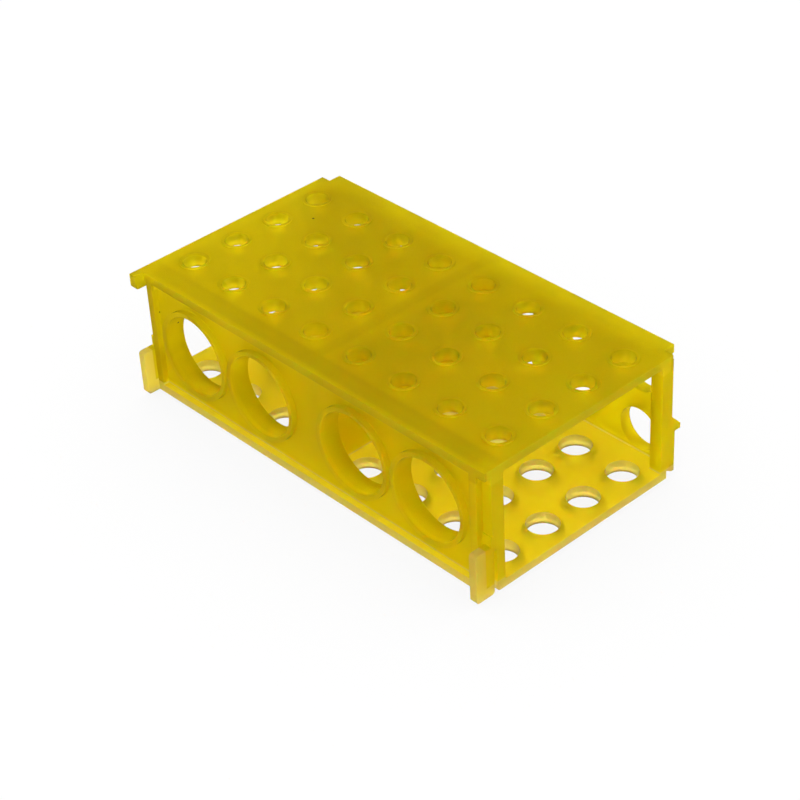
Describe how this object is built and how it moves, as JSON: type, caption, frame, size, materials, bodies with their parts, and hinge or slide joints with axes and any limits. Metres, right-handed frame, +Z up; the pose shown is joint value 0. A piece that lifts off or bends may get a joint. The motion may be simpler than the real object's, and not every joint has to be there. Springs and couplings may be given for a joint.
{
  "type": "four-way test tube rack",
  "caption": "Low oblong rack moulded in one piece, with round collared holes for four sizes of laboratory tube in its faces, open ends and interlocking corners.",
  "frame": {"origin": "centre of the whole underside, on the plane of the foot collars", "axes": "+X along the length, +Y from the large-hole face to the conical-hole face, +Z up through the small-hole face"},
  "size_m": [0.174, 0.098, 0.0522],
  "materials": {
    "rack_plastic": "satin, slightly translucent yellow polypropylene"
  },
  "bodies": {
    "root": {"rack_body": "rack_plastic"}
  },
  "joints": []
}
